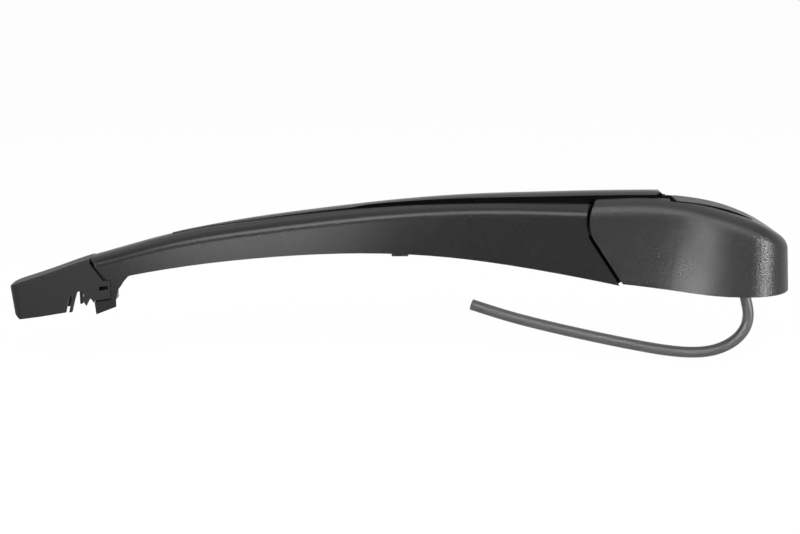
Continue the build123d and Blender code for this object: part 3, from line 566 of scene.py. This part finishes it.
def hang_loop(bm, wire):
    """Round loop of the spring's wire in the hook."""
    loop = ring(bm, wire, LOOP_CENTRE + Vector((LOOP_RADIUS, 0, 0)), pi / 2, "X", WIRE_SIDES)
    bmesh.ops.spin(
        bm, geom=loop, cent=LOOP_CENTRE, axis=(0, 0, 1), dvec=(0, 0, 0),
        angle=2 * pi, steps=LOOP_STEPS, use_merge=True, use_duplicate=False)


class WIPER_OT_lay_hose(bpy.types.Operator):
    """Lay the washer hose, its bend at the hinge and its free end"""

    bl_idname = "wiper.lay_hose"
    bl_label = "Lay hose"

    def execute(self, context):
        sizes = context.scene.wiper_sizes
        rubber = hose_rubber(context.scene.wiper_finish)
        paint(["washer_hose_arm", "washer_hose_hinge", "washer_hose_head", "washer_hose_tail"], rubber)
        tail = hose_tail(context.scene, sizes, rubber)
        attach(tail, "head")
        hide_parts("washer_hose_tail")
        # Disc of painted shade where the hose's bore would show
        mouth = hose_mouth_shade(sizes)
        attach(mouth, "head")
        bend = hose_bend(sizes, rubber)
        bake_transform(bend)
        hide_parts("washer_hose_hinge")
        return {"FINISHED"}


def hose_tail(scene, sizes, rubber):
    """Free run of the hose below the head."""
    curve = bpy.data.curves.new("hose_tail", "CURVE")
    curve.dimensions = "3D"
    curve.bevel_depth = sizes.hose_radius
    curve.bevel_resolution = 6
    curve.resolution_u = 16
    curve.use_fill_caps = True
    run = curve.splines.new("NURBS")
    run.points.add(len(TAIL_LINE) - 1)
    for point, (x, z) in zip(run.points, TAIL_LINE):
        point.co = (x, HOSE_PLANE, z, 1.0)
    run.order_u = 3
    run.use_endpoint_u = True
    curve.materials.append(rubber)
    tail = bpy.data.objects.new("hose_tail", curve)
    scene.collection.objects.link(tail)
    return tail


def hose_mouth_shade(sizes):
    """Disc of painted shade for the bore, on the hose's closed cut end."""
    before, last = [Vector((x, HOSE_PLANE, z)) for x, z in TAIL_LINE[-2:]]
    out = (last - before).normalized()
    turn = out.to_track_quat("Z", "Y").to_matrix().to_4x4()
    matrix = Matrix.Translation(last + out * MOUTH_PROUD) @ turn
    bm = bmesh.new()
    bmesh.ops.create_circle(
        bm, cap_ends=True, segments=HOSE_SIDES, radius=sizes.hose_bore, matrix=matrix)
    return piece_from(bm, "hose_mouth_shade", painted_bore_shade(), smooth=False)


def hose_bend(sizes, rubber):
    """Short run of hose over the hinge axis, with its rings close together."""
    centre = BEND_ARC - Vector((0, 0, BEND_RADIUS))
    bm = bmesh.new()
    start = ring(bm, sizes.hose_radius, BEND_START, pi / 2, "Y", HOSE_SIDES)
    straight = draw_on(bm, start, (BEND_ARC - BEND_START) / STRAIGHT_RINGS, STRAIGHT_RINGS)
    arc = bmesh.ops.spin(
        bm, geom=straight, cent=centre, axis=(0, 1, 0), dvec=(0, 0, 0),
        angle=BEND_ANGLE, steps=ARC_RINGS, use_merge=False, use_duplicate=False)["geom_last"]
    verts = verts_of(arc)
    step = (BEND_END - middle_of(verts)) / STRAIGHT_RINGS
    draw_on(bm, verts + edges_among(verts), step, STRAIGHT_RINGS)
    for vert in bm.verts:
        flatten_bend(vert, centre)
    return piece_from(bm, "hose_bend", rubber)


def flatten_bend(vert, centre):
    """Presses a vertex of the hose towards its centre line, most in the middle of the arc."""
    spoke = Vector((vert.co.x - centre.x, 0, vert.co.z - centre.z))
    turned = atan2(spoke.x, spoke.z)
    if 0 < turned < BEND_ANGLE:
        press = BEND_PRESS * sin(pi * turned / BEND_ANGLE)
        vert.co -= spoke.normalized() * (spoke.length - BEND_RADIUS) * press


class WIPER_OT_set_stage(bpy.types.Operator):
    """Set the floor, the lights and the camera"""

    bl_idname = "wiper.set_stage"
    bl_label = "Set stage"

    def execute(self, context):
        scene = context.scene
        lowest = cad_box[0][2]
        bm = bmesh.new()
        bmesh.ops.create_grid(bm, x_segments=1, y_segments=1, size=FLOOR_HALF)
        bmesh.ops.translate(bm, verts=bm.verts, vec=(0, 0, lowest - scene.wiper_sizes.floor_drop))
        floor = piece_from(bm, "floor", pale_floor(), smooth=False)
        light_world(scene)
        for lamp in LAMPS:
            soft_box(scene, *lamp)
        set_camera(scene)
        scene.view_settings.view_transform = "Standard"
        return {"FINISHED"}


def seen_directly(shader):
    """1 for what the camera sees itself, in a mirror or through glass."""
    names = ("Is Camera Ray", "Is Glossy Ray", "Is Transmission Ray")
    camera, glossy, transmission = [shader.node("ShaderNodeLightPath", output=name) for name in names]
    return camera | glossy | transmission


def pale_floor():
    """White floor that keeps a faint shadow."""
    shader = Shader.named("pale_floor")
    matte = shader.node("ShaderNodeBsdfDiffuse", None, {"Color": (0.9, 0.9, 0.9, 1.0)})
    white = shader.node("ShaderNodeEmission", None, {"Color": (1.0, 1.0, 1.0, 1.0), "Strength": 1.0})
    share = seen_directly(shader) * FLOOR_WHITE
    return shader.surface(shader.node("ShaderNodeMixShader", None, {0: share, 1: matte, 2: white}))


def light_world(scene):
    """White surroundings that light the object softly."""
    scene.world = bpy.data.worlds.new("studio")
    shader = Shader(scene.world)
    inputs = {
        "Color": (1.0, 1.0, 1.0, 1.0),
        "Strength": seen_directly(shader) * (1.0 - WORLD_LIGHT) + WORLD_LIGHT,
    }
    white = shader.node("ShaderNodeBackground", None, inputs)
    shader.node("ShaderNodeOutputWorld", None, {"Surface": white})


def soft_box(scene, name, place, aim, size, power, spread):
    """Rectangular lamp turned to a point, with the spread of its beam in degrees."""
    lamp = bpy.data.lights.new(name, "AREA")
    lamp.shape = "RECTANGLE"
    lamp.size, lamp.size_y = size
    lamp.energy = power
    lamp.spread = radians(spread)
    made = bpy.data.objects.new(name, lamp)
    made.location = place
    made.rotation_euler = (Vector(aim) - Vector(place)).to_track_quat("-Z", "Y").to_euler()
    scene.collection.objects.link(made)


def set_camera(scene):
    """Camera slightly above the arm's near side."""
    camera = bpy.data.cameras.new("camera")
    camera.sensor_width = CAMERA_SENSOR
    camera.lens = CAMERA_LENS
    camera.clip_start = 0.01
    camera.clip_end = 50.0
    made = bpy.data.objects.new("camera", camera)
    made.location = CAMERA_PLACE
    made.rotation_euler = (CAMERA_TURN, 0.0, 0.0)
    scene.collection.objects.link(made)
    scene.camera = made


class WIPER_PT_sidebar(bpy.types.Panel):
    """Lists the steps that dress the wiper arm, with its colours and sizes"""

    bl_idname = "WIPER_PT_sidebar"
    bl_label = "Wiper arm"
    bl_space_type = "VIEW_3D"
    bl_region_type = "UI"
    bl_category = "Wiper arm"

    def draw(self, context):
        for step in STEPS:
            self.layout.operator(step.bl_idname)
        for group in (context.scene.wiper_finish, context.scene.wiper_sizes):
            for name in group.__annotations__:
                self.layout.prop(group, name)


STEPS = (
    WIPER_OT_finish_mouldings,
    WIPER_OT_finish_metal,
    WIPER_OT_wind_spring,
    WIPER_OT_lay_hose,
    WIPER_OT_set_stage,
)
CLASSES = (Finish, Sizes, *STEPS, WIPER_PT_sidebar)


def register():
    for cls in CLASSES:
        bpy.utils.register_class(cls)
    bpy.types.Scene.wiper_finish = PointerProperty(type=Finish)
    bpy.types.Scene.wiper_sizes = PointerProperty(type=Sizes)


def unregister():
    del bpy.types.Scene.wiper_sizes
    del bpy.types.Scene.wiper_finish
    for cls in reversed(CLASSES):
        bpy.utils.unregister_class(cls)


def main():
    register()
    bpy.ops.wiper.finish_mouldings()
    bpy.ops.wiper.finish_metal()
    bpy.ops.wiper.wind_spring()
    bpy.ops.wiper.lay_hose()
    bpy.ops.wiper.set_stage()


if __name__ == "__main__":
    main()
